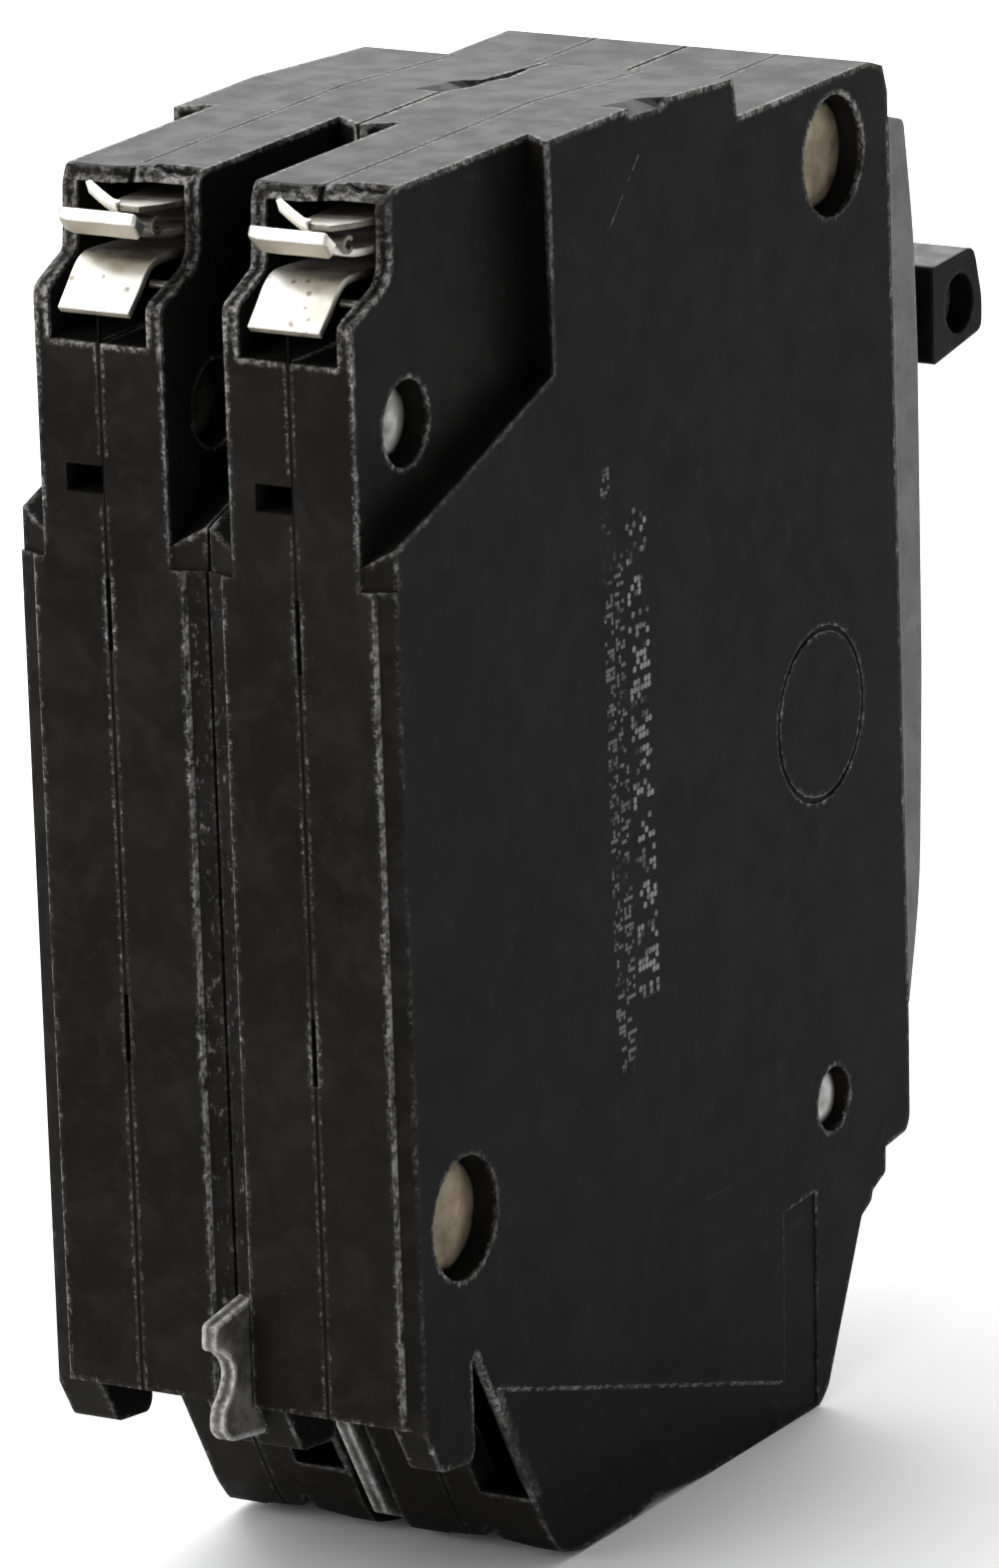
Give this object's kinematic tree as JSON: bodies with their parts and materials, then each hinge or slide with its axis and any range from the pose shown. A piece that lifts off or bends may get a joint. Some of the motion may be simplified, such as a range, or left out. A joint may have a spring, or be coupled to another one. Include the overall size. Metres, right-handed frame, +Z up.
{
  "type": "two-pole circuit breaker",
  "caption": "Slim plug-in circuit breaker with two riveted poles, sprung line jaws, tied handles, load terminals and a rail hook.",
  "frame": {"origin": "centre of the bounding box at its bottom, on the flat load end the breaker stands on", "axes": "+Z up from the load end to the line end, +Y towards the panel rail, -Y towards the handle, X across the poles"},
  "size_m": [0.0252, 0.0764, 0.0858],
  "materials": {
    "case": "semi-gloss black thermoset with scuffed edges",
    "handle": "gloss black",
    "label": "matt light grey",
    "tinned": "dull tin plating",
    "steel": "zinc plated",
    "rivet_brass": "tarnished",
    "bimetal": "rolled strip",
    "copper": "bare copper",
    "silver": "satin silver alloy"
  },
  "bodies": {
    "case": {"left_base": "case", "left_cover": "case", "left_upper_jaw": "tinned", "left_lower_jaw": "tinned", "left_jaw_spring": "steel", "left_fixed_contact": "silver", "left_arc_chute": "steel", "left_arm_pin": "steel", "left_cradle_pin": "steel", "left_bimetal": "bimetal", "left_magnet_yoke": "steel", "left_armature_pin": "steel", "left_braid": "copper", "left_load_strap": "copper", "left_front_label": "label", "left_line_rivet": "steel", "left_load_rivet": "steel", "right_base": "case", "right_cover": "case", "right_upper_jaw": "tinned", "right_lower_jaw": "tinned", "right_jaw_spring": "steel", "right_fixed_contact": "silver", "right_arc_chute": "steel", "right_arm_pin": "steel", "right_cradle_pin": "steel", "right_bimetal": "bimetal", "right_magnet_yoke": "steel", "right_armature_pin": "steel", "right_braid": "copper", "right_load_strap": "copper", "right_front_label": "label", "right_line_rivet": "steel", "right_load_rivet": "steel", "upper_tie_rivet": "rivet_brass", "lower_tie_rivet": "rivet_brass", "mounting_hook": "case"},
    "handle": {"left_handle": "handle", "right_handle": "handle", "handle_tie": "handle", "tie_pin": "steel"},
    "trip_bar": {"trip_bar": "handle"},
    "left_arm": {"left_contact_arm": "copper", "left_contact_tip": "silver", "left_toggle_spring": "steel"},
    "left_cradle_lever": {"left_cradle": "steel"},
    "left_armature_plate": {"left_armature": "steel"},
    "left_screw": {"left_terminal_screw": "steel"},
    "left_clamp": {"left_terminal_clamp": "tinned"},
    "right_arm": {"right_contact_arm": "copper", "right_contact_tip": "silver", "right_toggle_spring": "steel"},
    "right_cradle_lever": {"right_cradle": "steel"},
    "right_armature_plate": {"right_armature": "steel"},
    "right_screw": {"right_terminal_screw": "steel"},
    "right_clamp": {"right_terminal_clamp": "tinned"}
  },
  "joints": [
    {"name": "handle_throw", "type": "hinge", "parent": "case", "child": "handle", "pos_m": [0, -0.01542, 0.0569], "axis": [1, 0, 0], "range_deg": [0, 44]},
    {"name": "trip", "type": "hinge", "parent": "case", "child": "trip_bar", "pos_m": [0, -0.01553, 0.0437], "axis": [1, 0, 0], "range_deg": [0, 10]},
    {"name": "left_arm_swing", "type": "hinge", "parent": "case", "child": "left_arm", "pos_m": [0.00635, -0.00942, 0.0639], "axis": [1, 0, 0], "range_deg": [-22, 0]},
    {"name": "left_cradle_drop", "type": "hinge", "parent": "case", "child": "left_cradle_lever", "pos_m": [0.00635, 0.02158, 0.0544], "axis": [1, 0, 0], "range_deg": [0, 12]},
    {"name": "left_armature_tilt", "type": "hinge", "parent": "case", "child": "left_armature_plate", "pos_m": [0.00635, 0.00358, 0.0344], "axis": [1, 0, 0], "range_deg": [0, 10]},
    {"name": "left_screw_turn", "type": "hinge", "parent": "case", "child": "left_screw", "pos_m": [0.00545, -0.01103, 0.0088], "axis": [0, 0.8944, 0.4472], "range_deg": [0, 1080]},
    {"name": "left_clamp_slide", "type": "slide", "parent": "case", "child": "left_clamp", "axis": [0, -0.8944, -0.4472], "range_m": [0, 0.0021]},
    {"name": "right_arm_swing", "type": "hinge", "parent": "case", "child": "right_arm", "pos_m": [-0.00635, -0.00942, 0.0639], "axis": [1, 0, 0], "range_deg": [-22, 0]},
    {"name": "right_cradle_drop", "type": "hinge", "parent": "case", "child": "right_cradle_lever", "pos_m": [-0.00635, 0.02158, 0.0544], "axis": [1, 0, 0], "range_deg": [0, 12]},
    {"name": "right_armature_tilt", "type": "hinge", "parent": "case", "child": "right_armature_plate", "pos_m": [-0.00635, 0.00358, 0.0344], "axis": [1, 0, 0], "range_deg": [0, 10]},
    {"name": "right_screw_turn", "type": "hinge", "parent": "case", "child": "right_screw", "pos_m": [-0.00725, -0.01103, 0.0088], "axis": [0, 0.8944, 0.4472], "range_deg": [0, 1080]},
    {"name": "right_clamp_slide", "type": "slide", "parent": "case", "child": "right_clamp", "axis": [0, -0.8944, -0.4472], "range_m": [0, 0.0021]}
  ],
  "couplings": [
    {"joint": "left_arm_swing", "follows": "handle_throw", "ratio": -0.5},
    {"joint": "left_cradle_drop", "follows": "trip", "ratio": 1.2},
    {"joint": "left_armature_tilt", "follows": "trip", "ratio": 1},
    {"joint": "left_screw_turn", "follows": "left_clamp_slide", "rad_per_m": 8976},
    {"joint": "right_arm_swing", "follows": "handle_throw", "ratio": -0.5},
    {"joint": "right_cradle_drop", "follows": "trip", "ratio": 1.2},
    {"joint": "right_armature_tilt", "follows": "trip", "ratio": 1},
    {"joint": "right_screw_turn", "follows": "right_clamp_slide", "rad_per_m": 8976}
  ]
}
